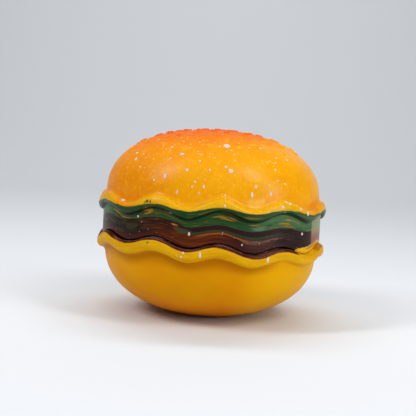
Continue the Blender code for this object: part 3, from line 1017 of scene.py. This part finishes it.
MAIN_DROPS = (      # column and row in the picture, then width and length down the slope in mm
    (227, 146, 2.3, 2.6),
    (231, 171, 1.6, 1.7),
    (226, 167, 0.9, 1.0),
    (182, 154, 1.4, 1.3),
    (187, 170, 1.0, 1.2),
    (165, 176, 0.8, 1.9),
    (154, 180, 0.7, 0.9),
    (136, 159, 1.3, 1.5),
    (137, 153, 1.5, 1.1),
    (172, 147, 0.9, 0.9),
    (256, 187, 0.7, 1.4),
    (252, 195, 1.0, 2.1),
    (271, 194, 0.8, 1.8),
    (225, 195, 0.5, 1.7),
    (285, 184, 0.7, 0.8),
    (276, 163, 0.7, 0.8),
    (287, 160, 0.8, 0.9),
    (278, 181, 0.5, 0.8),
    (123, 200, 2.1, 1.3),
    (177, 192, 0.5, 1.4),
    (199, 193, 0.6, 0.8),
    (192, 187, 0.6, 0.7),
    (195, 182, 0.7, 0.8),
    (210, 170, 0.7, 0.8),
    (200, 161, 0.7, 0.8),
    (286, 202, 1.3, 0.8),
    (290, 204, 1.5, 0.9),
    (283, 207, 0.9, 1.0),
    (301, 209, 1.0, 1.6),
    (308, 214, 1.3, 1.5),
    (189, 234, 0.8, 1.3),
    (242, 245, 0.6, 0.6),
    (302, 234, 1.1, 1.0),
    (183, 253, 0.7, 0.9),
    (181, 257, 0.6, 0.9),
    (200, 255, 0.8, 2.0),
    (268, 260, 0.8, 2.1),
)
DROP_THICKNESS = 0.16               # of the drop's width
DROP_SEGMENTS = 12
DROP_RINGS = 6
FINE_DROPS_PER_SQUARE_MM = 0.03
FINE_DROP_WIDTHS = (0.22, 0.72)     # mm
FINE_DROP_RARITY = 4.0              # a power; with a higher one the wide drops are rarer
FINE_DROP_STRETCH = 1.8             # length of the longest, of the drop's width
FINE_DROPS_BELOW_LIP = 0.25         # share of those on the crown
FINE_DROPS_ON_BOWL = 0.04           # share of those above it
DROP_RANDOM = 5


def seen_at(column, row, surface):
    """The place and the normal that the camera sees at a pixel of the picture."""
    ray = Vector(((column - FRAME_PIXELS / 2.0) / FOCAL_PIXELS,
                  (FRAME_PIXELS / 2.0 - row) / FOCAL_PIXELS, -1.0))
    direction = (eye.matrix_world.to_3x3() @ ray).normalized()
    place, normal, *_ = surface.ray_cast(eye.matrix_world.translation, direction)
    return place, normal


def joined_surface(name, pieces):
    """One object with the faces of several pieces."""
    shape = bmesh.new()
    for piece in pieces:
        shape.from_mesh(piece.data)
    mesh = bpy.data.meshes.new(name)
    shape.to_mesh(mesh)
    shape.free()
    return in_scene(name, mesh)


def splatter_tree():
    """A lens-shaped drop on each main point, and small ones strewn over the surface."""
    nodes, taken, given = new_group("Geometry", "Splatter", {
        "Main Drops": "Geometry", "Surface": "Object",
        "Per Square Metre": FINE_DROPS_PER_SQUARE_MM / MM ** 2,
        "Smallest": FINE_DROP_WIDTHS[0] * MM, "Largest": FINE_DROP_WIDTHS[1] * MM,
        "Thickness": DROP_THICKNESS, "Seed": DROP_RANDOM, "Material": "Material",
    }, "Drops")
    calc = nodes.calc
    ball = nodes.step("SetShadeSmooth", nodes.add("GeometryNodeMeshUVSphere", {
        "Segments": DROP_SEGMENTS, "Rings": DROP_RINGS, "Radius": 0.5,
    })["Mesh"])

    def drops_on(points, normal, width, length):
        """Flattened balls on points, their longer axis down the slope."""
        upright = nodes.add("FunctionNodeAlignRotationToVector", {"Vector": normal}, axis="Z")
        turned = nodes.add("FunctionNodeAlignRotationToVector", {
            "Rotation": upright[0], "Vector": (0.0, 0.0, -1.0),
        }, axis="Y", pivot_axis="Z")
        return nodes.add("GeometryNodeInstanceOnPoints", {
            "Points": points, "Instance": ball, "Rotation": turned[0],
            "Scale": nodes.vector(width, length, calc("MULTIPLY", width, taken["Thickness"])),
        })[0]

    main = drops_on(taken["Main Drops"], nodes.kept("normal_there", "FLOAT_VECTOR"),
                    nodes.kept("drop_width"), nodes.kept("drop_length"))

    surface = nodes.add("GeometryNodeObjectInfo", {"Object": taken["Surface"]})
    height = nodes.parts(nodes.add("GeometryNodeInputPosition")[0])["Z"]
    above_lip = nodes.add("ShaderNodeMapRange", {
        "Value": height, "From Min": UPPER_LIP_BOTTOM, "From Max": UPPER_LIP_TOP + RIPPLE_FADE,
        "To Min": FINE_DROPS_BELOW_LIP,
    })[0]
    above_bowl = calc("GREATER_THAN", height, LOWER_LIP_BOTTOM)
    share = calc("MULTIPLY", above_lip, calc(
        "MULTIPLY_ADD", above_bowl, 1.0 - FINE_DROPS_ON_BOWL, FINE_DROPS_ON_BOWL))
    scattered = nodes.add("GeometryNodeDistributePointsOnFaces", {
        "Mesh": surface["Geometry"], "Seed": taken["Seed"],
        "Density": calc("MULTIPLY", share, taken["Per Square Metre"]),
    })
    chance = nodes.add("FunctionNodeRandomValue", {"Seed": taken["Seed"]}, data_type="FLOAT")
    rarely = calc("POWER", chance[1], FINE_DROP_RARITY)
    width = calc("MULTIPLY_ADD", rarely, calc("SUBTRACT", taken["Largest"], taken["Smallest"]),
                 taken["Smallest"])
    stretch = nodes.add("FunctionNodeRandomValue", {
        2: 1.0, 3: FINE_DROP_STRETCH, "Seed": calc("ADD", taken["Seed"], 1.0),
    }, data_type="FLOAT")
    fine = drops_on(scattered["Points"], scattered["Normal"], width,
                    calc("MULTIPLY", width, stretch[1]))
    return nodes.give_dressed(nodes.step("JoinGeometry", [main, fine]), taken, given)


def drop_paint():
    """Off-white colour, thinner and warmer here and there."""
    finish = PaintedFinish("white_drops", paint(222, 206, 212), roughness=0.4, at_rest=False)
    finish.coat(paint(240, 196, 160), 0.6, finish.strokes(1.2, 1.2, 0.52, 0.1))
    return finish.finished()


surface = joined_surface("all_layers", (lower_bun, patty, lettuce, upper_bun))
outside = BVHTree.FromPolygons(
    [vertex.co for vertex in surface.data.vertices],
    [polygon.vertices for polygon in surface.data.polygons],
)
found = [(*seen_at(column, row, outside), width * MM, length * MM)
         for column, row, width, length in MAIN_DROPS]
drop_places, normals, widths, lengths = zip(*found)
drop_points = loose_points("drop_points", drop_places, {
    "normal_there": normals, "drop_width": widths, "drop_length": lengths,
})
splatter = made_by(splatter_tree(), drop_points, {"Surface": surface, "Material": drop_paint()},
                   "white_splatter")
bpy.data.objects.remove(surface)
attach(splatter, "root")


# Floor and light
# A pale seamless sheet under a dim sky. Soft windows stand in front to the left and right and
# show in the gloss, and three wide lamps fill in without a reflection.

PAPER = paint(226, 229, 233)
PAPER_ROUGHNESS = 0.9
SKY = (0.92, 0.96, 1.0, 1.0)
SKY_STRENGTH = 0.07
WINDOW_DISTANCE = 0.5
WINDOWS = (         # degrees to the viewer's right; bottom, top and width in m; watts
    ("left_window", -61.0, 0.34, 0.74, 0.09, 2.5),
    ("right_window", 51.0, 0.38, 0.84, 0.12, 1.9),
    ("right_door", 62.0, 0.02, 0.30, 0.12, 0.65),
)
WIDE_LAMPS = (      # place, and the point that it faces; width and height in m; watts
    ("ceiling", (0.0, -0.1, 0.95), (0.0, 0.0, 0.0), 1.2, 1.2, 2.6),
    ("front_fill", (0.1, -0.9, 0.6), (0.0, 0.0, 0.05), 0.8, 0.8, 2.2),
    ("wall_wash", (0.0, 0.9, 2.6), (0.0, 2.2, 0.4), 3.0, 0.6, 47.0),
)


def backdrop():
    """A floor that turns up into a wall behind in one soft curve."""
    half_width, front, back, bend, height, steps = 3.0, -3.0, 2.5, 1.2, 4.0, 12
    outline = [(front, 0.0), (back - bend, 0.0)]
    for step in range(1, steps + 1):
        angle = math.radians(90.0 * step / steps)
        outline.append((back - bend + bend * math.sin(angle), bend - bend * math.cos(angle)))
    outline.append((back, height))
    mesh = bpy.data.meshes.new("backdrop")
    points = [(side * half_width, y, z) for y, z in outline for side in (-1, 1)]
    faces = [(2 * i, 2 * i + 1, 2 * i + 3, 2 * i + 2) for i in range(len(outline) - 1)]
    mesh.from_pydata(points, [], faces)
    mesh.shade_smooth()
    sheet = in_scene("backdrop", mesh)
    paper = bpy.data.materials.new("pale_paper")
    paper.use_nodes = True
    shader = paper.node_tree.nodes["Principled BSDF"]
    shader.inputs["Base Color"].default_value = PAPER
    shader.inputs["Roughness"].default_value = PAPER_ROUGHNESS
    mesh.materials.append(paper)


def soft_light(name, place, target, width, height, power, mirrored=True):
    """A rectangle of soft light that faces a point, and shows in reflections or doesn't."""
    data = bpy.data.lights.new(name, "AREA")
    data.shape = "RECTANGLE"
    data.size = width
    data.size_y = height
    data.energy = power
    lamp = in_scene(name, data)
    lamp.location = place
    lamp.rotation_euler = (Vector(target) - Vector(place)).to_track_quat("-Z", "Y").to_euler()
    lamp.visible_glossy = mirrored


backdrop()
for name, azimuth, low, high, width, power in WINDOWS:
    turn = math.radians(azimuth)
    middle = (low + high) / 2.0
    place = (WINDOW_DISTANCE * math.sin(turn), -WINDOW_DISTANCE * math.cos(turn), middle)
    soft_light(name, place, (0.0, 0.0, middle), width, high - low, power)
for lamp in WIDE_LAMPS:
    soft_light(*lamp, mirrored=False)

sky = bpy.data.worlds.new("dim_room")
sky.use_nodes = True
sky_inputs = sky.node_tree.nodes["Background"].inputs
sky_inputs["Color"].default_value = SKY
sky_inputs["Strength"].default_value = SKY_STRENGTH
bpy.context.scene.world = sky
bpy.context.scene.view_settings.view_transform = "Standard"
